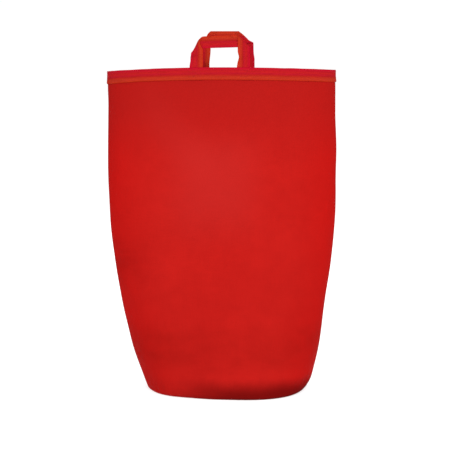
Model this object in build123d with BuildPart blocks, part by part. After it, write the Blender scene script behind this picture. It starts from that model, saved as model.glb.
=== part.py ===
from build123d import *
import math
import os

# Sack race bag: a cloth tube of constant girth on a round base, with a webbing rim and two carrying loops.
# Millimetres. +Z up, front towards -Y, +X to the right. Origin on the floor, under the middle of the mouth.

# Driving dimensions: the body
sack_height = 700.0
mouth_half_width = 246.0
base_radius = 176.0  # also fixes the girth: the cloth is the same length round at every height
taper_height = 540.0  # the body is straight above this height
taper_power = 2.5
taper_steps = 9
base_shift = 15.0  # the base stands this far to the right of the mouth
cloth = 1.2
turn_radius = 20.0  # the wall turns under to the base round this radius
base_seam_width = 22.5  # from the widest line of the base in to the base panel's hole

# Driving dimensions: rim
webbing_width = 25.0
webbing = 1.4
rim_tape = 1.2
hem_top_gap = 1.0  # the folded hem stops this far below the tape's top edge

# Driving dimensions: handles
leg_inner = 37.5
leg_outer = leg_inner + webbing_width
front_handle_x = -2.4
back_handle_x = 10.0
front_reach = 59.0  # from the fold line to the top of the loop
back_reach = 69.0
front_lean = 16.0  # degrees outward at rest
back_lean = 0.0
fold_rise = 9.0  # the fold line is this far above the rim
tail_rise = 3.0  # the sewn tails end this far above the rim
tail_gap = 0.2

# Driving dimensions: seams
binding_width = 8.0
binding = 2.4
binding_gap = 0.4
binding_foot = 24.0
binding_head_gap = 32.0  # below the top of the sack, clear of the hem
base_binding_height = 8.0
base_binding_radius = 152.5
base_binding = 2.8

# Driving dimensions: thread
thread_width = 0.8
thread = 0.4
stitch_inset = 3.0  # from a webbing edge to a row of stitches
box_stitch_width = 17.0
box_stitch_height = 13.0
seam_stitch_inset = 3.0

rim_bottom = sack_height - webbing_width
fold_height = sack_height + fold_rise
slack = 1.0  # overshoot of a cutting tool past a face
halvings = 60  # how often an interval is halved to find a half depth


def taper(z):
    """How far the section at height z has gone from the mouth's shape (0) to the base's (1)."""
    return max(0.0, 1.0 - z / taper_height) ** taper_power


def half_width(z):
    return mouth_half_width - (mouth_half_width - base_radius) * taper(z)


def centre_x(z):
    return base_shift * taper(z)


def girth(a, b):
    """Perimeter of an ellipse, after Ramanujan."""
    return math.pi * (3 * (a + b) - math.sqrt((3 * a + b) * (a + 3 * b)))


def half_depth(z):
    """Half depth of the section that keeps the cloth's girth, found by halving the interval."""
    low = 0.0
    high = base_radius
    for _ in range(halvings):
        middle = (low + high) / 2
        if girth(half_width(z), middle) < 2 * math.pi * base_radius:
            low = middle
        else:
            high = middle
    return high


mouth_half_depth = half_depth(sack_height)


def body_form(skin, top):
    """Closed form of the body, its face moved in by skin, from the floor side up to top."""
    with BuildPart() as form:
        for step in range(taper_steps + 1):
            z = skin + (taper_height - skin) * step / taper_steps
            with BuildSketch(Plane(origin=(centre_x(z), 0, z))):
                Ellipse(half_width(z) - skin, half_depth(z) - skin)
        loft()
        with BuildSketch(Plane.XY.offset(taper_height)):
            Ellipse(mouth_half_width - skin, mouth_half_depth - skin)
        extrude(amount=top - taper_height)
        fillet(form.edges().group_by(Axis.Z)[0], turn_radius - skin)
    return form.part


def mouth_ring(inner, outer, low, high):
    """Elliptical ring that follows the mouth, between two distances outside the body's face."""
    with BuildPart() as ring:
        with BuildSketch(Plane.XY.offset(low)):
            Ellipse(mouth_half_width + outer, mouth_half_depth + outer)
            Ellipse(mouth_half_width + inner, mouth_half_depth + inner, mode=Mode.SUBTRACT)
        extrude(amount=high - low)
    return ring.part


def leg_slabs(side, handle_x, margin):
    """Upright slabs that reach from the middle of the bag out through one wall, one at each handle leg."""
    width = webbing_width + 2 * margin
    with BuildPart() as slabs:
        with BuildSketch(Plane.XY.offset(rim_bottom - slack)):
            with Locations(*[(handle_x + s * (leg_inner + leg_outer) / 2, side * base_radius / 2) for s in (-1, 1)]):
                Rectangle(width, base_radius)
        extrude(amount=webbing_width + fold_rise)
    return slabs.part


def fold_depth(side):
    """Y of a handle's fold line: the middle of the hem gap, at the middle of a leg."""
    a = mouth_half_width + webbing / 2
    b = mouth_half_depth + webbing / 2
    return side * b * math.sqrt(1 - ((leg_inner + leg_outer) / 2 / a) ** 2)


def half_plane_keep(side):
    """Which half of a Plane.XZ split lies on one side: that plane faces -Y."""
    return Keep.TOP if side < 0 else Keep.BOTTOM


os.makedirs("parts", exist_ok=True)

walls = [("front", -1, front_handle_x, front_reach, front_lean), ("back", 1, back_handle_x, back_reach, back_lean)]
outer_form = body_form(0.0, sack_height)
inner_form = body_form(cloth, sack_height + slack)
hem_band = mouth_ring(0.0, webbing, rim_bottom, sack_height - hem_top_gap)
tape_ring = mouth_ring(webbing, webbing + rim_tape, rim_bottom, sack_height)
tape_face = webbing + rim_tape
base_opening = base_radius - base_seam_width

# Front and back panels: each is half of the tube, turned under at the base, with its top edge folded out as a hem
for name, side, handle_x, *_ in walls:
    notches = leg_slabs(side, handle_x, tail_gap)
    with BuildPart() as panel:
        add(hem_band)
        add(notches, mode=Mode.SUBTRACT)
        add(outer_form)
        add(inner_form, mode=Mode.SUBTRACT)
        with BuildSketch(Plane(origin=(base_shift, 0, -slack))):
            Circle(base_opening)
        extrude(amount=2 * slack + cloth, mode=Mode.SUBTRACT)
        split(bisect_by=Plane.XZ, keep=half_plane_keep(side))
    panel.part.label = f"{name}_panel"
    export_step(panel.part, f"parts/{name}_panel.step")

# Base panel: the round piece that the sack stands on
with BuildPart() as base_panel:
    with BuildSketch(Plane(origin=(base_shift, 0, 0))):
        Circle(base_opening - tail_gap / 2)
    extrude(amount=cloth)
base_panel.part.label = "base_panel"
export_step(base_panel.part, "parts/base_panel.step")

# Rim tapes: webbing sewn over the hem, front and back, ending at the side seams
for name, side, *_ in walls:
    with BuildPart() as rim:
        add(tape_ring)
        split(bisect_by=Plane.XZ, keep=half_plane_keep(side))
    rim.part.label = f"{name}_rim_tape"
    export_step(rim.part, f"parts/{name}_rim_tape.step")

# Handle tails: the two sewn ends of each handle, caught between the panel and the rim tape
for name, side, handle_x, *_ in walls:
    legs = leg_slabs(side, handle_x, 0.0)
    tail_band = mouth_ring(0.0, webbing, rim_bottom, sack_height + tail_rise)
    with BuildPart() as tails:
        add(tail_band)
        add(legs, mode=Mode.INTERSECT)
    tails.part.label = f"{name}_handle_tails"
    export_step(tails.part, f"parts/{name}_handle_tails.step")

# Handles: the free loop of webbing above the fold line, its corners folded over at 45 degrees
for name, side, handle_x, reach, lean in walls:
    tilt = math.radians(lean)
    fold_line = (handle_x, fold_depth(side), fold_height)
    loop_plane = Plane(origin=fold_line, x_dir=(1, 0, 0), z_dir=(0, -math.cos(tilt), side * math.sin(tilt)))
    loop_points = [
        (-leg_outer, 0),
        (-leg_outer, reach - webbing_width),
        (-leg_inner, reach),
        (leg_inner, reach),
        (leg_outer, reach - webbing_width),
        (leg_outer, 0),
        (leg_inner, 0),
        (leg_inner, reach - webbing_width),
        (-leg_inner, reach - webbing_width),
        (-leg_inner, 0),
    ]
    with BuildPart() as handle:
        with BuildSketch(loop_plane):
            with BuildLine():
                Polyline(*loop_points, close=True)
            make_face()
        extrude(amount=webbing / 2, both=True)
        with Locations(*[(handle_x + s * (leg_inner + leg_outer) / 2, *fold_line[1:]) for s in (-1, 1)]):
            Cylinder(webbing / 2, webbing_width, rotation=(0, 90, 0))
    handle.part.label = f"{name}_handle"
    export_step(handle.part, f"parts/{name}_handle.step")

# Rim thread: two rows of stitches along each rim tape, near its edges
thread_rows = [rim_bottom + stitch_inset, sack_height - stitch_inset]
for name, side, *_ in walls:
    with BuildPart() as rim_thread:
        for row in thread_rows:
            low = row - thread_width / 2
            add(mouth_ring(tape_face, tape_face + thread, low, low + thread_width))
        split(bisect_by=Plane.XZ, keep=half_plane_keep(side))
    rim_thread.part.label = f"{name}_rim_thread"
    export_step(rim_thread.part, f"parts/{name}_rim_thread.step")

# Handle thread: a box of stitches with a cross in it over each sewn tail
box_slope = math.degrees(math.atan2(box_stitch_height, box_stitch_width))
box_diagonal = math.hypot(box_stitch_height, box_stitch_width)
for name, side, handle_x, *_ in walls:
    stitch_shell = mouth_ring(tape_face, tape_face + thread, rim_bottom, sack_height)
    with BuildPart() as handle_thread:
        box_centres = [(handle_x + s * (leg_inner + leg_outer) / 2, rim_bottom + webbing_width / 2) for s in (-1, 1)]
        with BuildSketch(Plane.XZ):
            with Locations(*box_centres):
                Rectangle(box_stitch_width, box_stitch_height)
                Rectangle(
                    box_stitch_width - 2 * thread_width,
                    box_stitch_height - 2 * thread_width,
                    mode=Mode.SUBTRACT,
                )
                Rectangle(box_diagonal - 2 * thread_width, thread_width, rotation=box_slope)
                Rectangle(box_diagonal - 2 * thread_width, thread_width, rotation=-box_slope)
        extrude(amount=-side * base_radius)
        add(stitch_shell, mode=Mode.INTERSECT)
    handle_thread.part.label = f"{name}_handle_thread"
    export_step(handle_thread.part, f"parts/{name}_handle_thread.step")


def seam_strip(side, near, far, start, amount):
    """Strip inside a side seam, between two distances from the wall and between two planes across Y."""
    low = binding_foot
    high = sack_height - binding_head_gap
    heights = [low + (high - low) * step / taper_steps for step in range(taper_steps + 1)]
    near_points = [(centre_x(z) + side * (half_width(z) - cloth - near), z) for z in heights]
    far_points = [(centre_x(z) + side * (half_width(z) - cloth - far), z) for z in heights]
    with BuildPart() as strip:
        with BuildSketch(Plane.XZ.offset(start)):
            with BuildLine():
                Spline(*near_points)
                Line(near_points[-1], far_points[-1])
                Spline(*far_points)
                Line(far_points[0], near_points[0])
            make_face()
        extrude(amount=amount)
    return strip.part


# Side seams: inside, the two panels' edges stand up together in a folded binding, held by a row of thread
row_near = binding_gap + seam_stitch_inset
row_far = row_near + thread_width
for name, side in (("left", -1), ("right", 1)):
    with BuildPart() as side_binding:
        add(seam_strip(side, binding_gap, binding_gap + binding_width, -binding / 2, binding))
    side_binding.part.label = f"{name}_seam_binding"
    export_step(side_binding.part, f"parts/{name}_seam_binding.step")

    with BuildPart() as side_thread:
        add(seam_strip(side, row_near, row_far, binding / 2, thread))
        add(seam_strip(side, row_near, row_far, -binding / 2 - thread, thread))
    side_thread.part.label = f"{name}_seam_thread"
    export_step(side_thread.part, f"parts/{name}_seam_thread.step")

# Base seam: inside, the base panel's edge and the wall's stand up together in a ring of binding
with BuildPart() as base_binding_ring:
    with BuildSketch(Plane(origin=(base_shift, 0, cloth))):
        Circle(base_binding_radius)
        Circle(base_binding_radius - base_binding, mode=Mode.SUBTRACT)
    extrude(amount=base_binding_height)
base_binding_ring.part.label = "base_seam_binding"
export_step(base_binding_ring.part, "parts/base_seam_binding.step")

with BuildPart() as base_thread_ring:
    with BuildSketch(Plane(origin=(base_shift, 0, cloth + seam_stitch_inset))):
        Circle(base_binding_radius - base_binding)
        Circle(base_binding_radius - base_binding - thread, mode=Mode.SUBTRACT)
    extrude(amount=thread_width)
base_thread_ring.part.label = "base_seam_thread"
export_step(base_thread_ring.part, "parts/base_seam_thread.step")
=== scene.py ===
import math

import bpy
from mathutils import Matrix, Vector, noise


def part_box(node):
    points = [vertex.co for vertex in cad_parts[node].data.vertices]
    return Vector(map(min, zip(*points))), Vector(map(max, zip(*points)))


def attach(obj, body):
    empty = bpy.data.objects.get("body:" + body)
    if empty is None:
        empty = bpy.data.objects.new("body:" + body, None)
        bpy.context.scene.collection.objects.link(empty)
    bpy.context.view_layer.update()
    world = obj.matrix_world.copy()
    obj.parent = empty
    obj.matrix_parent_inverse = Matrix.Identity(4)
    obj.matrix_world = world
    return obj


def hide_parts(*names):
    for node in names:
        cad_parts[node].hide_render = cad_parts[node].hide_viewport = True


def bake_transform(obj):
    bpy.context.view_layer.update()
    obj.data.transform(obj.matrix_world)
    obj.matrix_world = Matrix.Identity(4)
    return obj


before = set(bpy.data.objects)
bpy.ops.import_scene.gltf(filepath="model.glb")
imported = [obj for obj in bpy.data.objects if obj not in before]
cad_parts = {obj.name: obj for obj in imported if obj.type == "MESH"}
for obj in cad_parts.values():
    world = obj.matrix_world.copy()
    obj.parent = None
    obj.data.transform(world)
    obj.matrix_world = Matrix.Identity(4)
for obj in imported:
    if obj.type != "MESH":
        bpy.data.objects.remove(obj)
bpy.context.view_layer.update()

# Sack race bag: a red cloth sack with a webbing rim and two webbing handles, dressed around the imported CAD.
# Metres. Millimetre values are written as 25 * MM. "Outward" is away from the middle of the sack.
MM = 0.001

# ---------------------------------------------------------------- places read from the frame
tape_low, tape_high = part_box("front_rim_tape")
base_low, base_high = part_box("base_panel")
TOP = tape_high.z
TAPE_WIDTH = tape_high.z - tape_low.z
TAPE_PROUD = 2.6 * MM  # the CAD tape's outer face beyond the wall's
MOUTH_HALF_WIDTH = tape_high.x - TAPE_PROUD
MOUTH_HALF_DEPTH = -tape_low.y - TAPE_PROUD
BASE_X = (base_low.x + base_high.x) / 2
BASE_SEAM_RADIUS = (base_high.x - base_low.x) / 2
BINDING_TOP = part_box("left_seam_binding")[1].z  # the bound part of a side seam ends here, below the tape

# ---------------------------------------------------------------- the sack's shape, as in the CAD
BASE_RADIUS = 176 * MM
TAPER_HEIGHT = 540 * MM
TAPER_POWER = 2.5
SECTION_STEP = 5 * MM

# ---------------------------------------------------------------- cloth layers, outward from the wall's face
CLOTH = 0.7 * MM
WALL_MID = -0.35 * MM
HEM_MID = 0.6 * MM
TAIL_MID = 1.65 * MM
TAPE_MID = 1.75 * MM
TAPE_OVER_TAIL = 1.15 * MM  # how far a sewn tail pushes the tape out
HEM_DEPTH = 23 * MM
ALLOWANCE = 8 * MM  # seam allowance, standing inside the sack
SEAM_GAP = 0.36 * MM  # half of the gap between two cloths that lie against each other in a seam
SEAM_CLOSED = 0.03 * MM  # the same where no allowances stand between the panels

# ---------------------------------------------------------------- webbing
WEB_HALF = 13.2 * MM
WEB_THICK = 1.3 * MM
FOLD_RADIUS = 1.0 * MM

PAINT = 0.64  # how light the dyes are, against the studio's light


def smooth(x):
    """0 below 0, 1 above 1, and an even S between."""
    x = max(0.0, min(1.0, x))
    return x * x * (3 - 2 * x)


def hump(x, middle, reach):
    """1 at middle, falling evenly to 0 at reach either side."""
    return smooth(1 - abs(x - middle) / reach)


def wobble(place, scale, seed):
    """Even noise from -1 to 1 at a place, with features about scale wide."""
    return noise.noise(Vector(place) / scale + Vector((seed * 7.3, seed * 3.1, seed * 5.7)))


# ================================================================ the wall's surface
def taper(z):
    """1 at the base, falling to 0 at the taper's height."""
    return max(0.0, 1 - z / TAPER_HEIGHT) ** TAPER_POWER


def girth(a, b):
    """Ramanujan's length of an oval with these half widths."""
    return math.pi * (3 * (a + b) - math.sqrt((3 * a + b) * (a + 3 * b)))


def solve_half_depth(half_width):
    """Half depth of an oval that has the tube's girth."""
    low, high = 0.0, BASE_RADIUS
    for _ in range(40):
        middle = (low + high) / 2
        if girth(half_width, middle) < 2 * math.pi * BASE_RADIUS:
            low = middle
        else:
            high = middle
    return low


def half_width_at(z):
    return MOUTH_HALF_WIDTH - (MOUTH_HALF_WIDTH - BASE_RADIUS) * taper(z)


DEPTHS = [solve_half_depth(half_width_at(i * SECTION_STEP)) for i in range(int(TOP / SECTION_STEP) + 3)]


def section(z):
    """(centre x, half width, half depth) of the wall at a height."""
    place = max(0.0, z) / SECTION_STEP
    i = min(int(place), len(DEPTHS) - 2)
    depth = DEPTHS[i] + (DEPTHS[i + 1] - DEPTHS[i]) * (place - i)
    return BASE_X * taper(z), half_width_at(z), depth


def rim_drop(angle):
    """How far the rim hangs down towards the side seams, more at the left."""
    across = math.cos(angle)
    drop = 8.4 * MM if across < 0 else 5.5 * MM
    return drop * across * across


def rim_ripple(angle):
    """Small rise and fall of the rim between the handles, none at the handles."""
    across = math.cos(angle)
    beside_handles = smooth((abs(across) - 0.36) / 0.2)
    return 0.55 * MM * beside_handles * noise.noise(Vector((across * 9, math.sin(angle) * 5, 3.3)))


# How far the cloth bellies past the plain taper at its sides: (amount, height, reach up and down), in mm.
LEFT_SWELLS = [(-1.9, 500, 130), (-2.4, 360, 80), (-1.5, 90, 60)]
RIGHT_SWELLS = [(3.9, 390, 190), (2.4, 530, 80), (3.2, 90, 90)]
LEFT_EVEN_SWELL = -0.9 * MM
RIGHT_EVEN_SWELL = 1.4 * MM


def side_swell(z, across):
    """The belly of the cloth at the left (across below 0) or at the right, none at the front and back."""
    swells, even = (LEFT_SWELLS, LEFT_EVEN_SWELL) if across < 0 else (RIGHT_SWELLS, RIGHT_EVEN_SWELL)
    swell = even * smooth((690 * MM - z) / (20 * MM)) * smooth((z - 200 * MM) / (100 * MM))
    for amount, height, reach in swells:
        swell += amount * MM * hump(z, height * MM, reach * MM)
    return swell * across * across


def soft_waves(place):
    """Broad unevenness of hanging cloth, with faint upright streaks."""
    upright = (place.x, place.y, place.z * 0.22)
    broad = 2.0 * wobble(place, 210 * MM, 1) + 0.9 * wobble(place, 85 * MM, 2)
    return (broad + 0.8 * wobble(upright, 55 * MM, 3)) * MM


def slack_folds(angle, place):
    """Upright flutes and slanting ridges: full at the back, less at the front quarters, none in front."""
    away = math.sin(angle)
    slack = smooth((away - 0.04) / 0.4) + 0.45 * hump(away, -0.38, 0.3)
    upright = (place.x, place.y, place.z * 0.16)
    slanting = (place.x + 0.55 * place.z, place.y, place.z - 0.3 * place.x)
    flutes = 8.5 * wobble(upright, 70 * MM, 11)
    ridges = 4.5 * (0.4 - 2 * abs(wobble(slanting, 120 * MM, 12)))
    return slack * (flutes + ridges) * MM


def level_crease(angle, place):
    """A faint level crease across the front, broken here and there."""
    height = 375 * MM + 6 * MM * wobble(place, 150 * MM, 4)
    broken = smooth(0.5 + 1.5 * wobble(place, 200 * MM, 5))
    front_share = 1 - smooth((math.sin(angle) + 0.3) / 0.3)
    return -0.9 * MM * hump(place.z, height, 9 * MM) * broken * front_share


def tape_puckers(angle, z):
    """Small upright puckers that the tape's stitches pull into the cloth below it."""
    below_tape = TOP - TAPE_WIDTH - z
    upright = (angle * 0.25, 0, z * 0.2)
    return 0.45 * MM * wobble(upright, 12 * MM, 6) * hump(below_tape, 4 * MM, 26 * MM)


CORNER_ANGLE = -0.92  # where the foot bulges out into a soft corner, at the front right
CORNER_REACH = 0.8
LEFT_CORNER_ANGLE = -2.35  # and into a smaller one, at the front left
DENT_ANGLE = -0.42  # where the cloth above the foot is dented, at the right
DENT_HEIGHT = 26 * MM
GATHERS = 58  # round the foot, a whole number so that they meet


def foot_folds(angle, place):
    """The corners and the dent of the foot, and uneven gathers above the base seam."""
    low = smooth((75 * MM - place.z) / (60 * MM))
    corners = 11 * hump(angle, CORNER_ANGLE, CORNER_REACH) + 5 * hump(angle, LEFT_CORNER_ANGLE, 0.5)
    from_dent = ((angle - DENT_ANGLE) / 0.13) ** 2 + ((place.z - DENT_HEIGHT) / (7 * MM)) ** 2
    gathers = math.sin(angle * GATHERS + 4.5 * wobble(place, 50 * MM, 7))
    gathers *= hump(place.z, 10 * MM, 30 * MM) * smooth(0.35 + 1.3 * wobble(place, 60 * MM, 8))
    return (low * corners - 5 * math.exp(-from_dent) + 0.6 * gathers) * MM


def drape(angle, place):
    """How far the cloth stands off its plain shape."""
    under_tape = TOP - TAPE_WIDTH - 2 * MM
    free = smooth((under_tape - place.z) / (50 * MM)) * smooth((place.z - 12 * MM) / (50 * MM))
    loose = soft_waves(place) + slack_folds(angle, place) + level_crease(angle, place)
    return free * loose + tape_puckers(angle, place.z) + foot_folds(angle, place)


def seam_pinch(angle, half_depth):
    """The groove that a side seam pulls into the wall."""
    along = abs(math.sin(angle)) * half_depth
    return 0.6 * MM * math.exp(-((along / (5 * MM)) ** 2))


def wall(angle, z, outward, folds=True):
    """A point at a height on the wall, a distance outward from its face."""
    centre, half_width, half_depth = section(z)
    across, away = math.cos(angle), math.sin(angle)
    place = Vector((centre + half_width * across, half_depth * away, z))
    normal = Vector((across / half_width, away / half_depth, 0)).normalized()
    out = outward - seam_pinch(angle, half_depth)
    if folds:
        out += drape(angle, place)
    place += normal * out
    place.x += side_swell(z, across)
    hanging = smooth((z - 300 * MM) / (TOP - 300 * MM))
    place.z -= rim_drop(angle) * hanging
    place.z += rim_ripple(angle) * smooth((z - 620 * MM) / (50 * MM))
    return place


# ================================================================ meshes
def new_object(name, points, faces, uvs, material):
    """A smooth mesh object, with a texture coordinate for each point."""
    mesh = bpy.data.meshes.new(name)
    mesh.from_pydata([tuple(p) for p in points], [], faces)
    layer = mesh.uv_layers.new(name="UVMap")
    for loop in mesh.loops:
        layer.data[loop.index].uv = uvs[loop.vertex_index]
    mesh.polygons.foreach_set("use_smooth", [True] * len(mesh.polygons))
    mesh.materials.append(material)
    mesh.update()
    made = bpy.data.objects.new(name, mesh)
    bpy.context.scene.collection.objects.link(made)
    return made


def grid_faces(rows, columns, wrap=False, flip=False):
    """Faces of a grid of points stored row by row."""
    faces = []
    last = columns if wrap else columns - 1
    for r in range(rows - 1):
        for c in range(last):
            d = (c + 1) % columns
            face = (r * columns + c, r * columns + d, (r + 1) * columns + d, (r + 1) * columns + c)
            faces.append(tuple(reversed(face)) if flip else face)
    return faces


def thicken(piece, thickness):
    """Gives a sheet its thickness, half to each side."""
    solid = piece.modifiers.new("thickness", "SOLIDIFY")
    solid.thickness = thickness
    solid.offset = 0
    return piece


def sew_in(piece, node):
    """Puts a piece on the sack's body, in place of its CAD node."""
    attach(piece, "sack")
    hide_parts(node)
    return piece


def ring_point(radius, turn, z):
    """A point on a level circle round the base's middle."""
    return Vector((BASE_X + radius * math.cos(turn), radius * math.sin(turn), z))


def cloth_uvs(rows):
    """Thread coordinates in metres: across from the middle column, and down from the top."""
    columns = len(rows[0])
    middle = columns // 2
    down = [0.0] * columns
    uvs = []
    for r, row in enumerate(rows):
        across = [0.0] * columns
        for c in range(middle + 1, columns):
            across[c] = across[c - 1] + (row[c] - row[c - 1]).length
        for c in range(middle - 1, -1, -1):
            across[c] = across[c + 1] - (row[c] - row[c + 1]).length
        if r:
            down = [down[c] - (row[c] - rows[r - 1][c]).length for c in range(columns)]
        uvs += [(across[c], down[c]) for c in range(columns)]
    return uvs


# ================================================================ materials
def dye(red, green, blue, gain=PAINT):
    """A colour given as a screen value, as linear light."""
    def linear(value):
        value /= 255
        return value / 12.92 if value <= 0.04045 else ((value + 0.055) / 1.055) ** 2.4
    return (linear(red) * gain, linear(green) * gain, linear(blue) * gain, 1.0)


class Tree:
    """A material's nodes, each made and wired in one call."""

    def __init__(self, name):
        self.material = bpy.data.materials.new(name)
        self.material.use_nodes = True
        self.nodes = self.material.node_tree.nodes
        self.links = self.material.node_tree.links
        self.shader = self.nodes["Principled BSDF"]

    def add(self, kind, **inputs):
        made = self.nodes.new(kind)
        for key, value in inputs.items():
            self.feed(made.inputs[key], value)
        return made

    def feed(self, socket, value):
        if isinstance(value, bpy.types.NodeSocket):
            self.links.new(value, socket)
        else:
            socket.default_value = value

    def coordinates(self):
        """Thread coordinates and places, both in metres."""
        made = self.nodes.new("ShaderNodeTexCoord")
        return made.outputs["UV"], made.outputs["Object"]

    def split(self, vector):
        made = self.nodes.new("ShaderNodeSeparateXYZ")
        self.feed(made.inputs[0], vector)
        return tuple(made.outputs)

    def math(self, operation, first, second=0.0):
        made = self.nodes.new("ShaderNodeMath")
        made.operation = operation
        self.feed(made.inputs[0], first)
        self.feed(made.inputs[1], second)
        return made.outputs[0]

    def times(self, first, *others):
        for other in others:
            first = self.math("MULTIPLY", first, other)
        return first

    def plus(self, first, *others):
        for other in others:
            first = self.math("ADD", first, other)
        return first

    def wave(self, value, pitch):
        return self.math("SINE", self.times(value, 2 * math.pi / pitch))

    def fade(self, value, low, high, start=0.0, end=1.0):
        """An even ramp from start to end as value goes from low to high."""
        made = self.nodes.new("ShaderNodeMapRange")
        made.interpolation_type = "SMOOTHSTEP"
        for socket, number in zip(made.inputs, (value, low, high, start, end)):
            self.feed(socket, number)
        return made.outputs[0]

    def between(self, value, start, full, last, end):
        """1 from full to last, fading to 0 at start and at end."""
        return self.times(self.fade(value, start, full), self.fade(value, end, last))

    def noise(self, vector, scale, detail=2.0, roughness=0.5):
        made = self.add("ShaderNodeTexNoise", Vector=vector, Scale=scale, Detail=detail, Roughness=roughness)
        return made.outputs["Fac"]

    def stretched(self, vector, x, y, z=1.0):
        return self.add("ShaderNodeMapping", Vector=vector, Scale=(x, y, z)).outputs[0]

    def streaks(self, vector, x, y, z=1.0, detail=2.0, roughness=0.5):
        """Noise that runs x, y and z times finer than one patch a metre."""
        return self.noise(self.stretched(vector, x, y, z), 1.0, detail, roughness)

    def tint(self, colour, mask, amount, tone):
        """Takes the colour towards a tone where the mask is 1."""
        return self.mix(self.times(mask, amount), colour, dye(*tone))

    def mix(self, factor, first, second, blend="MIX"):
        made = self.nodes.new("ShaderNodeMix")
        made.data_type = "RGBA"
        made.blend_type = blend
        self.feed(made.inputs[0], factor)
        self.feed(made.inputs[6], first)
        self.feed(made.inputs[7], second)
        return made.outputs[2]

    def ramp(self, factor, stops):
        made = self.nodes.new("ShaderNodeValToRGB")
        self.feed(made.inputs[0], factor)
        elements = made.color_ramp.elements
        while len(elements) < len(stops):
            elements.new(0.5)
        for element, (position, colour) in zip(elements, stops):
            element.position = position
            element.color = colour
        return made.outputs[0]

    def surface(self, colour, roughness, specular, height=None, distance=0.0, strength=1.0):
        """Wires the look into the shader, with its bumps, and gives the material."""
        self.feed(self.shader.inputs["Base Color"], colour)
        self.feed(self.shader.inputs["Roughness"], roughness)
        self.shader.inputs["Specular IOR Level"].default_value = specular
        if height is not None:
            made = self.add("ShaderNodeBump", Height=height, Strength=strength, Distance=distance)
            self.links.new(made.outputs[0], self.shader.inputs["Normal"])
        return self.material


def thread_grid(tree, uv, pitch_across, pitch_along):
    """Height of a plain weave, threads going over and under each other."""
    across, along, _ = tree.split(uv)
    return tree.times(tree.wave(across, pitch_across), tree.wave(along, pitch_along))


def cloth_material():
    """Plain woven sack cloth, softly clouded, with a painted highlight above the middle, and painted shade at
    its sides, towards the rim and where it turns under.
    """
    tree = Tree("sack_cloth")
    uv, place = tree.coordinates()
    across = tree.split(uv)[0]
    x, _, z = tree.split(place)

    weave = thread_grid(tree, uv, 1.1 * MM, 1.1 * MM)
    slubs = tree.times(tree.plus(tree.streaks(uv, 900, 22), tree.streaks(uv, 22, 900)), 0.35)
    clouds = tree.noise(place, 7.0, 3.0, 0.55)
    mottle = tree.noise(place, 38.0, 4.0, 0.6)
    streak_noise = tree.streaks(place, 13, 13, 30, 4.0, 0.62)

    tone = tree.plus(tree.times(clouds, 0.9), tree.times(mottle, 0.5), slubs, tree.times(weave, 0.04))
    colour = tree.mix(tree.fade(tone, 0.65, 1.45), dye(189, 26, 22), dye(206, 32, 27))

    # A painted highlight above the middle, with a painted highlight streak from it up to the left.
    off_middle = tree.math("ABSOLUTE", tree.plus(x, 15 * MM))
    patch = tree.between(z, 290 * MM, 430 * MM, 500 * MM, 600 * MM)
    patch = tree.times(patch, tree.fade(off_middle, 140 * MM, 30 * MM))
    colour = tree.tint(colour, patch, 0.62, (201, 41, 37))
    off_highlight_streak = tree.math("ABSOLUTE", tree.plus(z, -490 * MM, tree.times(tree.plus(x, 30 * MM), 1.07)))
    highlight_streak = tree.between(x, -210 * MM, -130 * MM, -50 * MM, 30 * MM)
    highlight_streak = tree.times(highlight_streak, tree.fade(off_highlight_streak, 100 * MM, 0.0))
    colour = tree.tint(colour, highlight_streak, 0.45, (204, 41, 37))

    # Painted shade: a deeper red towards the side seams, and further in from them near the foot.
    off_column = tree.plus(tree.math("ABSOLUTE", across), tree.fade(z, 260 * MM, 80 * MM, 0.0, 50 * MM))
    sides = tree.times(tree.fade(off_column, 130 * MM, 285 * MM), tree.fade(clouds, 0.3, 0.7, 0.8, 1.0))
    colour = tree.tint(colour, sides, 0.8, (203, 17, 14))

    # Painted shade: duller and darker towards the rim, under the tape.
    painted_rim_shade = tree.times(tree.fade(z, 470 * MM, BINDING_TOP), tree.fade(clouds, 0.25, 0.7, 0.6, 1.0))
    colour = tree.tint(colour, painted_rim_shade, 0.8, (178, 27, 24))
    # Darker in a streaky band above the foot, and in a patch at one height at the left.
    band = tree.between(z, 40 * MM, 85 * MM, 120 * MM, 165 * MM)
    band = tree.times(band, tree.fade(streak_noise, 0.30, 0.70, 0.4, 1.0))
    colour = tree.tint(colour, band, 0.50, (168, 21, 16))
    left_dark_patch = tree.between(z, 210 * MM, 260 * MM, 300 * MM, 350 * MM)
    left_dark_patch = tree.times(left_dark_patch, tree.fade(x, -140 * MM, -210 * MM), tree.fade(streak_noise, 0.34, 0.66, 0.1, 1.0))
    colour = tree.tint(colour, left_dark_patch, 0.45, (168, 18, 14))

    # Painted shade where it turns under, except at the left.
    ragged = tree.plus(z, tree.times(tree.plus(clouds, -0.5), 30 * MM))
    foot = tree.times(tree.fade(ragged, 50 * MM, 12 * MM), tree.fade(x, -140 * MM, 50 * MM, 0.08, 1.0))
    colour = tree.tint(colour, foot, 0.88, (112, 9, 8))

    height = tree.plus(tree.times(weave, 0.8), tree.times(slubs, 1.6), tree.times(mottle, 10.0))
    return tree.surface(colour, tree.fade(mottle, 0.3, 0.7, 0.7, 0.82), 0.012, height, 0.16 * MM, 0.9)


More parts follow.
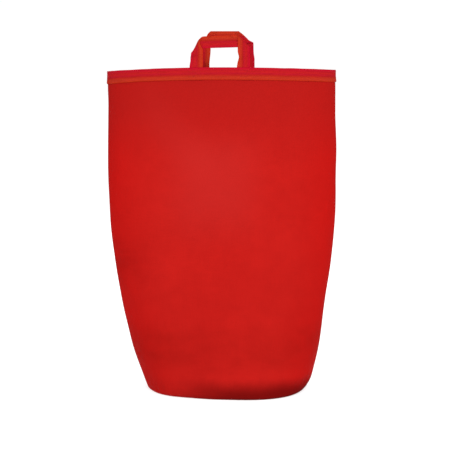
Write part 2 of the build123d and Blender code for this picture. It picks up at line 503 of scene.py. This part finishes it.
def webbing_material(name, gain=PAINT):
    """Flat woven webbing: crimson at one edge and orange at the other, in long streaks."""
    tree = Tree(name)
    uv, _ = tree.coordinates()
    along, across, _ = tree.split(uv)

    share = tree.plus(tree.times(across, 0.5 / WEB_HALF), 0.5)
    streaks = tree.streaks(uv, 9, 420, detail=3.0, roughness=0.6)
    share = tree.plus(share, tree.times(tree.plus(streaks, -0.5), 0.16))
    tones = [
        (0.0, (212, 14, 44)),
        (0.10, (206, 20, 44)),
        (0.32, (206, 32, 34)),
        (0.50, (201, 27, 42)),
        (0.60, (195, 33, 30)),
        (0.76, (206, 54, 33)),
        (0.90, (208, 56, 31)),
        (1.0, (212, 46, 22)),
    ]
    colour = tree.ramp(share, [(place, dye(*tone, gain=gain)) for place, tone in tones])
    dark = tree.mix(1.0, colour, (0.86, 0.86, 0.86, 1.0), "MULTIPLY")
    colour = tree.mix(tree.fade(tree.streaks(uv, 30, 900), 0.35, 0.65), dark, colour)

    # A herringbone of fine slanting ribs, over the picks.
    zigzag = tree.math("ABSOLUTE", tree.wave(across, 12.5 * MM))
    ribs = tree.wave(tree.plus(along, tree.times(zigzag, 2.4 * MM)), 1.7 * MM)
    height = tree.plus(ribs, tree.times(tree.wave(across, 1.1 * MM), 0.6))
    return tree.surface(colour, tree.fade(streaks, 0.3, 0.7, 0.62, 0.74), 0.015, height, 0.2 * MM, 0.8)


def binding_material():
    """Thin folded binding tape, finely ribbed."""
    tree = Tree("binding_tape")
    uv, _ = tree.coordinates()
    fuzz = tree.streaks(uv, 60, 500, detail=3.0)
    colour = tree.mix(fuzz, dye(176, 18, 24), dye(198, 26, 30))
    ribs = thread_grid(tree, uv, 0.9 * MM, 0.7 * MM)
    return tree.surface(colour, tree.fade(fuzz, 0.3, 0.7, 0.55, 0.7), 0.03, ribs, 0.1 * MM, 0.7)


def thread_material():
    """Twisted polyester sewing thread."""
    tree = Tree("thread")
    uv, place = tree.coordinates()
    along, around, _ = tree.split(uv)
    plies = tree.wave(tree.plus(along, tree.times(around, 0.6)), 0.45 * MM)
    lot = tree.fade(tree.noise(place, 60.0), 0.3, 0.7)
    colour = tree.mix(lot, dye(186, 22, 34), dye(206, 34, 38))
    return tree.surface(colour, tree.plus(tree.times(lot, 0.1), 0.4), 0.12, plies, 0.06 * MM, 0.6)


CLOTH_LOOK = cloth_material()
WEBBING_LOOK = webbing_material("webbing")
BACK_HANDLE_LIT_WEBBING_LOOK = webbing_material("webbing_painted_lighter", PAINT * 1.16)  # the back handle's, a lighter copy: painted light over the shade that it stands in
BINDING_LOOK = binding_material()
THREAD_LOOK = thread_material()


# ================================================================ cloth panels
WALL_COLUMNS = 150
WALL_ROWS = 150
HEM_ROWS = 7
FOLD_ROWS = 5
FOOT_ROWS = 12
TURN_UP_ROWS = 4
TURN_UP_LEAN = 1.6 * MM  # how far the base seam's allowances lean inward at their free edge


def left_share(angle):
    """1 at the left side seam, 0 from half way across to the middle on."""
    return smooth((-math.cos(angle) - 0.45) / 0.5)


def right_share(angle):
    """1 half way across to the right, in front and behind, and 0 at the middle and at the side seam."""
    return hump(math.cos(angle), 0.5, 0.5)


def foot_height(angle):
    """Where the wall starts to turn under: low at the left, high at the front."""
    return (30 - 21 * left_share(angle) - 6 * right_share(angle)) * MM


def foot_squareness(angle):
    """2 is a round turn, more is squarer."""
    corner = hump(angle, CORNER_ANGLE, CORNER_REACH)
    return 2.2 + 2.8 * left_share(angle) + 1.3 * right_share(angle) + 2.2 * corner


def foot(angle, share):
    """A point of the turn from the wall (share 0) to the base seam (share 1)."""
    height = foot_height(angle)
    power = 2 / foot_squareness(angle)
    turn = share * math.pi / 2
    down = math.sin(turn) ** power
    inset = 1 - max(0.0, math.cos(turn)) ** power
    z = height * (1 - down)
    outer = wall(angle, z, WALL_MID)
    centre = Vector((BASE_X, 0, outer.z))
    spoke = outer - centre
    seam = BASE_SEAM_RADIUS + SEAM_GAP
    place = centre + spoke * (1 - inset * (1 - seam / spoke.length))
    gather = 0.5 + 0.5 * math.sin(angle * GATHERS + 1.2)
    lowest = CLOTH / 2 + 0.5 * MM * gather * hump(share, 0.75, 0.3)
    place.z = max(place.z, lowest)
    return place


def panel_column(angle):
    """Points of a wall panel down one column: hem, fold, wall, foot, and the base seam's allowance."""
    points = []
    fold = TOP - 1.4 * MM  # where the hem starts to turn over, inside the rim tape
    fold_radius = (HEM_MID - WALL_MID) / 2
    fold_mid = (HEM_MID + WALL_MID) / 2
    for i in range(HEM_ROWS):
        z = fold - HEM_DEPTH * (1 - i / (HEM_ROWS - 1))
        points.append(wall(angle, z, HEM_MID, folds=False))
    for i in range(1, FOLD_ROWS):
        turn = math.pi * i / FOLD_ROWS
        z = fold + fold_radius * math.sin(turn)
        points.append(wall(angle, z, fold_mid + fold_radius * math.cos(turn), folds=False))
    low = foot_height(angle)
    for i in range(WALL_ROWS):
        z = fold + (low - fold) * i / WALL_ROWS
        points.append(wall(angle, z, WALL_MID))
    for i in range(FOOT_ROWS + 1):
        points.append(foot(angle, i / FOOT_ROWS))
    seam = points[-1]
    inward = Vector((BASE_X - seam.x, -seam.y, 0)).normalized()
    for i in range(1, TURN_UP_ROWS + 1):
        share = i / TURN_UP_ROWS
        lean = inward * (0.3 * MM + TURN_UP_LEAN * share)
        points.append(seam + lean + Vector((0, 0, ALLOWANCE * share)))
    return points


STUB = 0.6 * MM  # what is left of a side seam's allowance under the tape and at the foot


def seam_share(z, foot_reach):
    """1 along the bound part of a side seam, 0 under the tape and at the foot."""
    return smooth((BINDING_TOP - z) / (6 * MM)) * smooth((z - 14 * MM) / foot_reach)


def allowance_at(z):
    """Width of a side seam's allowance."""
    return STUB + (ALLOWANCE - STUB) * seam_share(z, 12 * MM)


def seam_gap_at(z):
    """Half the gap between the panels: open where the allowances stand between them, closed elsewhere."""
    return SEAM_CLOSED + (SEAM_GAP - SEAM_CLOSED) * seam_share(z, 10 * MM)


def seam_allowance(edge):
    """The columns that carry a panel's edge on into the sack, nearest first."""
    inward = -1 if edge[len(edge) // 2].x > 0 else 1
    columns = []
    for share in (0.12, 0.5, 1.0):
        columns.append([p + Vector((inward * allowance_at(p.z) * share, 0, 0)) for p in edge])
    return columns


def wall_panel(name, side, node):
    """One half of the tube, with its hem, its turned-under foot and its seam allowances."""
    start = -math.pi if side < 0 else 0.0
    columns = []
    for c in range(WALL_COLUMNS + 1):
        column = panel_column(start + math.pi * c / WALL_COLUMNS)
        for p in column:
            p.y = side * math.hypot(p.y, seam_gap_at(p.z))
        columns.append(column)
    columns = seam_allowance(columns[0])[::-1] + columns + seam_allowance(columns[-1])
    rows = [list(row) for row in zip(*columns)]
    points = [p for row in rows for p in row]
    faces = grid_faces(len(rows), len(rows[0]), flip=True)
    piece = new_object(name, points, faces, cloth_uvs(rows), CLOTH_LOOK)
    return sew_in(thicken(piece, CLOTH), node)


def base_disc(name, node):
    """The round base, with its edge turned up inside as the seam's allowance."""
    rings, spokes = 30, 132
    edge = BASE_SEAM_RADIUS - SEAM_GAP
    circles = []
    for r in range(1, rings + 1):
        radius = edge * r / rings
        circle = [ring_point(radius, 2 * math.pi * s / spokes, CLOTH / 2) for s in range(spokes)]
        for p in circle:
            p.z += 0.9 * MM * (0.5 + 0.5 * wobble(p, 70 * MM, 9)) * smooth((edge - radius) / (20 * MM))
        circles.append(circle)
    for r in range(1, TURN_UP_ROWS + 1):
        share = r / TURN_UP_ROWS
        radius = edge - 0.5 * MM - TURN_UP_LEAN * share
        height = CLOTH / 2 + ALLOWANCE * share
        circles.append([ring_point(radius, 2 * math.pi * s / spokes, height) for s in range(spokes)])
    points = [Vector((BASE_X, 0, CLOTH / 2))] + [p for circle in circles for p in circle]
    faces = [(0, 1 + s, 1 + (s + 1) % spokes) for s in range(spokes)]
    for r in range(len(circles) - 1):
        for s in range(spokes):
            t = (s + 1) % spokes
            a, b = 1 + r * spokes, 1 + (r + 1) * spokes
            faces.append((a + s, b + s, b + t, a + t))
    piece = new_object(name, points, faces, [(p.x, p.y) for p in points], CLOTH_LOOK)
    return sew_in(thicken(piece, CLOTH), node)


# ================================================================ webbing
RIB_COUNT = 23
EDGE_ROUND = 0.6 * MM


def web_section():
    """The webbing's cross-section as (across, out) pairs: ribbed faces and rounded edges."""
    half = WEB_THICK / 2
    flat = WEB_HALF - EDGE_ROUND
    face = []
    for i in range(RIB_COUNT):
        across = -flat + 2 * flat * i / (RIB_COUNT - 1)
        rib = 0.05 * MM * (1 if i % 2 else -1)
        face.append((across, half + rib))
    edge = [(WEB_HALF - 0.15 * MM, half * 0.6), (WEB_HALF, 0.0), (WEB_HALF - 0.15 * MM, -half * 0.6)]
    back = [(w, -o) for w, o in reversed(face)]
    other = [(-w, o) for w, o in reversed(edge)]
    return face + edge + back + other


def web_piece(name, rows, lengths, flip=False, look=WEBBING_LOOK):
    """A webbing strip from its cross-section rows, with closed ends."""
    profile = web_section()
    count = len(profile)
    points = [p for row in rows for p in row]
    faces = grid_faces(len(rows), count, wrap=True, flip=flip)
    first = tuple(range(count))
    last = tuple((len(rows) - 1) * count + i for i in range(count))
    faces += [tuple(reversed(first)), last] if flip else [first, tuple(reversed(last))]
    uvs = [(length, across) for length in lengths for across, _ in profile]
    return new_object(name, points, faces, uvs, look)


def handle_middle(node):
    """x of the middle of a CAD handle."""
    low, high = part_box(node)
    return (low.x + high.x) / 2


HANDLE_MIDDLE = {-1: handle_middle("front_handle"), 1: handle_middle("back_handle")}
LEG_MIDDLE = 50 * MM  # from the handle's middle to the middle of a leg


def leg_places(side):
    """x of the middles of a handle's two legs."""
    return HANDLE_MIDDLE[side] - LEG_MIDDLE, HANDLE_MIDDLE[side] + LEG_MIDDLE


def tail_bulge(x, side):
    """How far the tape stands out over the sewn tails under it."""
    edge = 3.5 * MM  # how far past a tail's edge the tape comes back to the wall
    nearest = min(abs(x - leg) for leg in leg_places(side))
    return TAPE_OVER_TAIL * smooth((WEB_HALF + edge - nearest) / edge)


def tape_point(angle, across, out, side):
    """A point of the rim tape: across is 0 at its middle and grows downward."""
    wider = 1 + 0.06 * smooth((-math.cos(angle) - 0.7) / 0.3)  # it sags a little at the left
    z = TOP - (WEB_HALF + across) * wider
    centre, half_width, _ = section(z)
    x = centre + half_width * math.cos(angle)
    tuck = 0.6 * MM * smooth((across - WEB_HALF + 2.4 * MM) / (2.4 * MM))  # its lower edge lies closer
    middle = TAPE_MID + tail_bulge(x, side) - tuck
    return wall(angle, z, middle + out, folds=False)


TAPE_STEPS = 190
TAPE_GAP = 0.05 * MM


def tape_angles(side):
    """Angles along one half of the rim, clear of the other half at both side seams."""
    start = -math.pi if side < 0 else 0.0
    gap = TAPE_GAP / MOUTH_HALF_DEPTH
    return [start + gap + (math.pi - 2 * gap) * i / TAPE_STEPS for i in range(TAPE_STEPS + 1)]


def rim_webbing(name, side, node):
    """One half of the webbing round the mouth."""
    rows, lengths = [], []
    travelled = 0.0
    before = None
    for angle in tape_angles(side):
        middle = tape_point(angle, 0.0, 0.0, side)
        if before is not None:
            travelled += (middle - before).length
        before = middle
        rows.append([tape_point(angle, w, o, side) for w, o in web_section()])
        lengths.append(travelled)
    return sew_in(web_piece(name, rows, lengths), node)


# ================================================================ handles
# "rise" is the top of the bar above the rim, "lean" is in degrees outward, "slope" is how much the bar climbs
# to the right, and "bow" is how far the right leg bulges. A grab is a spot where the strap is crumpled:
# (across from the handle's middle, up from the rim, reach, moved across, moved up, which layer), in mm.
HANDLES = {
    "front": {
        "side": -1, "node": "front_handle", "rise": 68 * MM, "lean": 16.0, "slope": 0.03, "bow": 1.2 * MM,
        "grabs": [
            (-62.5, 42.0, 24.0, 1.2, -9.6, "both"),
            (-37.5, 68.0, 14.0, -1.5, -0.6, "both"),
            (-36.0, 54.0, 15.0, -6.0, 0.0, "leg"),
            (-62.0, 0.0, 16.0, -2.0, 0.0, "leg"),
            (37.0, 22.0, 12.0, 2.4, 0.0, "leg"),
            (36.0, 0.0, 13.0, -1.6, 0.0, "leg"),
        ],
    },
    "back": {
        "side": 1, "node": "back_handle", "rise": 79.6 * MM, "lean": 0.0, "slope": 0.0, "bow": 0.0,
        "grabs": [
            (-37.5, 79.0, 18.0, 2.4, 0.0, "both"),
            (-52.0, 64.0, 16.0, 5.0, -4.0, "both"),
            (-38.0, 40.0, 34.0, 2.6, 0.0, "leg"),
            (37.5, 79.0, 20.0, -8.4, 0.0, "both"),
            (52.0, 64.0, 16.0, -3.0, -3.0, "both"),
            (62.5, 53.0, 20.0, -2.6, 1.0, "both"),
            (62.0, 34.0, 16.0, -2.0, 0.0, "leg"),
        ],
    },
}
FOLD_AT = LEG_MIDDLE - math.pi * FOLD_RADIUS / math.sqrt(2)  # along the bar, where its crease starts
BEND = math.pi * FOLD_RADIUS  # length of the half turn in a crease
STRAP_STEP = 1.6 * MM
BEND_ROWS = 9
TAIL_DEPTH = 23 * MM  # from the rim down to a sewn tail's end
ROOT_2 = math.sqrt(2)


def pull(u, v, layer, grabs):
    """Moves a strap point by every grab in reach. Grabs of the leg leave the bar's layer (0) alone."""
    across, up = u / MM, v / MM
    du = dv = 0.0
    for at_u, at_v, reach, move_u, move_v, layers in grabs:
        far = math.hypot(across - at_u, up - at_v) / reach
        if far < 1:
            weight = (1 - far * far) ** 2 * (layer if layers == "leg" else 1.0)
            du += move_u * weight
            dv += move_v * weight
    return (across + du) * MM, (up + dv) * MM


def shear_at(c):
    """How far a row of the strap leans: upright in the bar and the leg, along the crease at the fold."""
    if c < FOLD_AT:
        return -smooth((c - (FOLD_AT - 32 * MM)) / (24 * MM))
    return -smooth((FOLD_AT + 34 * MM - c) / (26 * MM))


def fold_strap(c, across, rise):
    """Where a strap point lies in the loop's own plane, for the right half of a loop.

    Returns u, v, depth (outward from the leg's plane), the direction that the strap's top face looks,
    and the layer: 0 in the bar, 1 in the leg, between them round the crease."""
    s = c + shear_at(c) * across - FOLD_AT
    past = (s + across) / ROOT_2
    along = (s - across) / ROOT_2
    bar_middle = rise - WEB_HALF
    if past <= 0:
        return s + FOLD_AT, bar_middle + across, -2 * FOLD_RADIUS, (0.0, 0.0, 1.0), 0.0
    if past < BEND:
        turn = past / FOLD_RADIUS
        reach = FOLD_RADIUS * math.sin(turn)
        depth = -FOLD_RADIUS * (1 + math.cos(turn))
        u = FOLD_AT + (along + reach) / ROOT_2
        v = bar_middle + (-along + reach) / ROOT_2
        face = (math.sin(turn) / ROOT_2, math.sin(turn) / ROOT_2, math.cos(turn))
        return u, v, depth, face, smooth(past / BEND)
    back = past - BEND
    u = FOLD_AT + (along - back) / ROOT_2
    v = bar_middle + (-along - back) / ROOT_2
    return u, v, 0.0, (0.0, 0.0, -1.0), 1.0


def strap_rows(rise):
    """Row positions from the bar's middle, through the bend, to the tail's end."""
    bend = BEND * ROOT_2
    leg = rise - WEB_HALF + TAIL_DEPTH
    bar_count, leg_count = int(FOLD_AT / STRAP_STEP), int(leg / STRAP_STEP)
    rows = [FOLD_AT * i / bar_count for i in range(bar_count)]
    rows += [FOLD_AT + bend * i / BEND_ROWS for i in range(BEND_ROWS)]
    rows += [FOLD_AT + bend + leg * i / leg_count for i in range(leg_count + 1)]
    return rows


LEAN_START = 3 * MM  # above the rim
LEAN_ARC = 13 * MM  # the length of webbing that bends


def leaned(v, lean, side):
    """(turned, y, z) of a strap that leans outward: the angle it has turned, and its place from the rim."""
    if not lean or v <= LEAN_START:
        return 0.0, 0.0, v
    radius = LEAN_ARC / lean
    turned = min(v - LEAN_START, LEAN_ARC) / radius
    beyond = max(0.0, v - LEAN_START - LEAN_ARC)
    y = side * (radius * (1 - math.cos(turned)) + beyond * math.sin(turned))
    return turned, y, LEAN_START + radius * math.sin(turned) + beyond * math.cos(turned)


def handle_root_y(u, v, side, centre):
    """y of the leg's plane: curved with the rim where it is sewn, and flat above it."""
    ring_angle = math.acos(max(-1, min(1, (centre + u) / MOUTH_HALF_WIDTH)))
    on_ring = wall(side * ring_angle, TOP - WEB_HALF, TAIL_MID, folds=False).y
    leg_angle = math.acos((centre + LEG_MIDDLE) / MOUTH_HALF_WIDTH)
    hinge_y = wall(side * leg_angle, TOP - WEB_HALF, 0.7 * MM, folds=False).y
    return on_ring + (hinge_y - on_ring) * smooth((v + 4 * MM) / (16 * MM))


def handle_place(u, v, depth, face, handle, centre):
    """Takes a strap point from the loop's plane to its place on the sack."""
    side = handle["side"]
    turned, y, z = leaned(v, math.radians(handle["lean"]), side)
    out = Vector((0, side * math.cos(turned), -math.sin(turned)))
    up = Vector((0, side * math.sin(turned), math.cos(turned)))
    place = Vector((centre + u, handle_root_y(u, v, side, centre) + y, TOP + z)) + out * depth
    looks = Vector((face[0], 0, 0)) + up * face[1] + out * face[2]
    return place, looks.normalized()


def handle_webbing(name, handle):
    """One length of webbing: tail, leg, folded corner, bar, folded corner, leg, tail."""
    side = handle["side"]
    centre = HANDLE_MIDDLE[side]
    steps = strap_rows(handle["rise"])
    signed = [(-1, c) for c in reversed(steps)] + [(1, c) for c in steps[1:]]
    rows, lengths = [], []
    for half, c in signed:
        row = []
        for across, out in web_section():
            u, v, depth, face, layer = fold_strap(c, across, handle["rise"])
            face = (half * face[0], face[1], face[2])
            u, v = pull(half * u, v, layer, handle["grabs"])
            v += handle["slope"] * u * smooth((v - 20 * MM) / (25 * MM))
            bulge = hump(v, 28 * MM, 11 * MM) * layer * smooth(half * u / (20 * MM))
            place, looks = handle_place(u, v, depth + handle["bow"] * bulge, face, handle, centre)
            row.append(place + looks * out)
        rows.append(row)
        lengths.append(half * c)
    # The back handle takes the lighter copy of the webbing, painted light over its shade.
    look = BACK_HANDLE_LIT_WEBBING_LOOK if side > 0 else WEBBING_LOOK
    piece = web_piece(name, rows, lengths, flip=side > 0, look=look)
    node = handle["node"]
    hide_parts(node, node + "_tails")
    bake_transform(piece)
    return piece


# ================================================================ stitches
STITCH_PITCH = 4.2 * MM
STITCH_LONG = 3.2 * MM
STITCH_RADIUS = 0.34 * MM
STITCH_RINGS = 5
STITCH_SIDES = 6


def add_stitch(points, faces, uvs, middle, along, out):
    """One lock stitch: a short arched thread whose ends dive into the cloth."""
    start = len(points)
    side = along.cross(out).normalized()
    for r in range(STITCH_RINGS):
        share = r / (STITCH_RINGS - 1)
        arch = math.sin(math.pi * share)
        centre = middle + along * (share - 0.5) * STITCH_LONG + out * STITCH_RADIUS * (1.1 * arch - 0.5)
        thick = STITCH_RADIUS * (0.5 + 0.5 * arch)
        for k in range(STITCH_SIDES):
            turn = 2 * math.pi * k / STITCH_SIDES
            points.append(centre + (out * math.cos(turn) + side * math.sin(turn)) * thick)
            uvs.append(((share - 0.5) * STITCH_LONG, thick * turn))
    for r in range(STITCH_RINGS - 1):
        for k in range(STITCH_SIDES):
            a, b = start + r * STITCH_SIDES, start + (r + 1) * STITCH_SIDES
            n = (k + 1) % STITCH_SIDES
            faces.append((a + k, b + k, b + n, a + n))
    first = tuple(start + k for k in range(STITCH_SIDES))
    last = tuple(start + (STITCH_RINGS - 1) * STITCH_SIDES + k for k in reversed(range(STITCH_SIDES)))
    faces += [first, last]


def stitch_line(store, path):
    """Stitches at an even pitch along a path of (point, outward direction) pairs."""
    distances = [0.0]
    for (p, _), (q, _) in zip(path, path[1:]):
        distances.append(distances[-1] + (q - p).length)
    count = max(1, int(distances[-1] / STITCH_PITCH))
    at = 0
    for i in range(count):
        wanted = distances[-1] * (i + 0.5) / count
        while distances[at + 1] < wanted:
            at += 1
        share = (wanted - distances[at]) / (distances[at + 1] - distances[at])
        p = path[at][0].lerp(path[at + 1][0], share)
        out = path[at][1].lerp(path[at + 1][1], share).normalized()
        along = (path[at + 1][0] - path[at][0]).normalized()
        add_stitch(*store, p, along, out)


def stitch_piece(name, store, node):
    """All the stitches of one seam, as one piece."""
    points, faces, uvs = store
    return sew_in(new_object(name, points, faces, uvs, THREAD_LOOK), node)


def outward_on_rim(angle, sign=1):
    """The level direction out of the rim, or into the sack where sign is -1."""
    across, away = math.cos(angle), math.sin(angle)
    return Vector((across / MOUTH_HALF_WIDTH, away / MOUTH_HALF_DEPTH, 0)).normalized() * sign


RIM_ROW = 9.5 * MM  # from the tape's middle to a row of stitches
BOX_STEPS = 12


def rim_stitches(name, side, node):
    """Two rows along the tape outside, and the same two rows showing on the cloth inside."""
    store = ([], [], [])
    angles = tape_angles(side)[1:-1]
    for across in (-RIM_ROW, RIM_ROW):
        outside = [(tape_point(a, across, WEB_THICK / 2, side), outward_on_rim(a)) for a in angles]
        stitch_line(store, outside)
        z = TOP - WEB_HALF - across
        inside = [(wall(a, z, -CLOTH, folds=False), outward_on_rim(a, -1)) for a in angles[2:-2]]
        stitch_line(store, inside)
    return stitch_piece(name, store, node)


def handle_stitches(name, side, node):
    """A box of stitches with a cross in it over each sewn tail."""
    store = ([], [], [])
    half_wide, half_high = 8.5 * MM, 6.2 * MM
    corners = [(a * half_wide, b * half_high) for a, b in ((-1, -1), (1, -1), (1, 1), (-1, 1))]
    runs = [(corners[i], corners[(i + 1) % 4]) for i in range(4)]
    runs += [(corners[0], corners[2]), (corners[1], corners[3])]
    for leg in leg_places(side):
        for start, end in runs:
            path = []
            for i in range(BOX_STEPS + 1):
                share = i / BOX_STEPS
                x = leg + start[0] + (end[0] - start[0]) * share
                across = start[1] + (end[1] - start[1]) * share
                angle = side * math.acos(x / MOUTH_HALF_WIDTH)
                path.append((tape_point(angle, across, WEB_THICK / 2, side), outward_on_rim(angle)))
            stitch_line(store, path)
    return stitch_piece(name, store, node)


# ================================================================ bindings
BINDING_THICK = 0.5 * MM
BINDING_HALF = 1.15 * MM
BINDING_FACE = BINDING_HALF + BINDING_THICK / 2  # from its middle to its outer face
BINDING_STEPS = 130
BINDING_EDGE = 0.9 * MM  # how far the tape's two edges stay from the wall, and its fold from the allowance
PROFILE_STEPS = 5
SIDE_ROW = 5 * MM  # from the wall to the row of stitches
BASE_ROW = 4.6 * MM  # the same above the base
BASE_LIFT = CLOTH / 2 + 0.3 * MM


def binding_profile():
    """(deep, aside, run) of the folded tape: into the sack, to one side, and along its width."""
    depth = ALLOWANCE + BINDING_EDGE
    flat = [(BINDING_EDGE + (depth - BINDING_EDGE) * i / PROFILE_STEPS, BINDING_HALF)
            for i in range(PROFILE_STEPS + 1)]
    turns = [math.pi * i / (PROFILE_STEPS + 1) for i in range(1, PROFILE_STEPS + 1)]
    fold = [(depth + BINDING_HALF * math.sin(turn), BINDING_HALF * math.cos(turn)) for turn in turns]
    path = flat + fold + [(deep, -aside) for deep, aside in reversed(flat)]
    profile, run = [], 0.0
    for before, (deep, aside) in zip(path[:1] + path, path):
        run += math.dist(before, (deep, aside))
        profile.append((deep, aside, run))
    return profile


def side_seam_place(z, right, deep, aside):
    """A place by a side seam's allowances: deep into the sack from the wall, and aside of their middle."""
    angle, inward = (0.0, -1) if right else (math.pi, 1)
    sway = 0.5 * MM * noise.noise(Vector((z * 18, 4.0 + right, 0))) * deep / ALLOWANCE
    return Vector((wall(angle, z, -CLOTH).x + inward * deep, aside + sway, wall(angle, z, 0).z))


def side_binding(name, right, node):
    """The tape folded round the allowances of a side seam."""
    low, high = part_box(node)
    profile = binding_profile()
    points, uvs = [], []
    for i in range(BINDING_STEPS + 1):
        z = low.z + (high.z - low.z) * i / BINDING_STEPS
        points += [side_seam_place(z, right, deep, aside) for deep, aside, _ in profile]
        uvs += [(z, run) for _, _, run in profile]
    faces = grid_faces(BINDING_STEPS + 1, len(profile), flip=right)
    piece = new_object(name, points, faces, uvs, BINDING_LOOK)
    return sew_in(thicken(piece, BINDING_THICK), node)


def side_stitches(name, right, node):
    """The stitches of a side seam, showing on both faces of its binding."""
    store = ([], [], [])
    low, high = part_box(node)
    start, end = low.z + 2 * MM, high.z - 2 * MM
    for face in (1, -1):
        path = []
        for i in range(BINDING_STEPS + 1):
            z = start + (end - start) * i / BINDING_STEPS
            path.append((side_seam_place(z, right, SIDE_ROW, face * BINDING_FACE), Vector((0, face, 0))))
        stitch_line(store, path)
    return stitch_piece(name, store, node)


def base_stack_radius(height):
    """Radius of the middle of the two allowances at a height above the base."""
    return BASE_SEAM_RADIUS - 0.4 * MM - TURN_UP_LEAN * height / ALLOWANCE


def base_binding(name, node):
    """The tape folded over the allowances of the base seam, all the way round."""
    profile = binding_profile()
    spokes, count = 180, len(profile)
    points, uvs, faces = [], [], []
    for s in range(spokes):
        turn = 2 * math.pi * s / spokes
        for deep, aside, run in profile:
            radius = base_stack_radius(deep) + aside
            points.append(ring_point(radius, turn, BASE_LIFT + deep))
            uvs.append((turn * radius, run))
        a, b = s * count, (s + 1) % spokes * count
        faces += [(a + k, a + k + 1, b + k + 1, b + k) for k in range(count - 1)]
    piece = new_object(name, points, faces, uvs, BINDING_LOOK)
    return sew_in(thicken(piece, BINDING_THICK), node)


def base_stitches(name, node):
    """The stitches of the base seam, showing on both faces of its binding."""
    store = ([], [], [])
    for face in (1, -1):
        radius = base_stack_radius(BASE_ROW) + face * BINDING_FACE
        path = []
        for degree in range(361):
            turn = math.radians(degree)
            out = Vector((math.cos(turn), math.sin(turn), 0))
            path.append((ring_point(radius, turn, BASE_LIFT + BASE_ROW), out * face))
        stitch_line(store, path)
    return stitch_piece(name, store, node)


# ================================================================ studio
CAMERA_AWAY = 3.8  # in front of the mouth's middle, level with the rim
CAMERA_RIGHT = 7.6 * MM
CAMERA_DIP = 0.09033  # how far the view falls in each metre
LENS = 139.67  # on a sensor 36 mm wide
FLOOR_REACH = 40.0
FLOOR_DROP = 0.2 * MM


def softbox(name, place, aim, size, power):
    data = bpy.data.lights.new(name, "AREA")
    data.shape = "RECTANGLE"
    data.size, data.size_y = size
    data.energy = power
    light = bpy.data.objects.new(name, data)
    light.location = place
    light.rotation_euler = (Vector(aim) - Vector(place)).to_track_quat("-Z", "Y").to_euler()
    bpy.context.scene.collection.objects.link(light)


def studio():
    """Camera, a plain pale floor and soft light."""
    data = bpy.data.cameras.new("camera")
    data.lens = LENS
    data.sensor_width = 36.0
    camera = bpy.data.objects.new("camera", data)
    camera.location = (CAMERA_RIGHT, -CAMERA_AWAY, TOP)
    camera.rotation_euler = (math.radians(90) - math.atan(CAMERA_DIP), 0, 0)
    bpy.context.scene.collection.objects.link(camera)
    bpy.context.scene.camera = camera

    look = Tree("pale_floor")
    grain = look.noise(look.coordinates()[1], 3.0, 3.0)
    pale = look.mix(grain, (0.40, 0.40, 0.40, 1), (0.44, 0.44, 0.44, 1))
    look.shader.inputs["Emission Color"].default_value = (1, 1, 1, 1)
    look.shader.inputs["Emission Strength"].default_value = 0.72
    spokes = 96
    points = [Vector((0, 0, -FLOOR_DROP))]
    for s in range(spokes):
        turn = 2 * math.pi * s / spokes
        points.append(Vector((FLOOR_REACH * math.cos(turn), FLOOR_REACH * math.sin(turn), -FLOOR_DROP)))
    faces = [(0, 1 + s, 1 + (s + 1) % spokes) for s in range(spokes)]
    new_object("floor", points, faces, [(p.x, p.y) for p in points], look.surface(pale, 0.9, 0.0))

    world = bpy.data.worlds.new("studio")
    world.use_nodes = True
    background = world.node_tree.nodes["Background"]
    background.inputs["Color"].default_value = (1, 1, 1, 1)
    background.inputs["Strength"].default_value = 1.02
    bpy.context.scene.world = world

    softbox("key", (0.6, -4.05, 2.3), (0.0, 0.0, 0.4), (1.4, 1.1), 135)
    softbox("back_fill", (0.0, 3.6, 2.2), (0.0, 0.0, 0.4), (1.6, 1.4), 60)
    bpy.context.scene.view_settings.view_transform = "Standard"


# ================================================================ assembly
studio()

front_tape = rim_webbing("front_rim_webbing", -1, "front_rim_tape")
back_tape = rim_webbing("back_rim_webbing", 1, "back_rim_tape")
front_cloth = wall_panel("front_cloth", -1, "front_panel")
back_cloth = wall_panel("back_cloth", 1, "back_panel")
base_cloth = base_disc("base_cloth", "base_panel")

for label in ("front", "back"):
    handle_webbing(f"{label}_handle_webbing", HANDLES[label])
    side = HANDLES[label]["side"]
    rim_stitches(f"{label}_rim_stitches", side, f"{label}_rim_thread")
    handle_stitches(f"{label}_handle_stitches", side, f"{label}_handle_thread")

for label, right in (("left", False), ("right", True)):
    side_binding(f"{label}_seam_tape", right, f"{label}_seam_binding")
    side_stitches(f"{label}_seam_stitches", right, f"{label}_seam_thread")
base_binding("base_seam_tape", "base_seam_binding")
base_stitches("base_seam_stitches", "base_seam_thread")
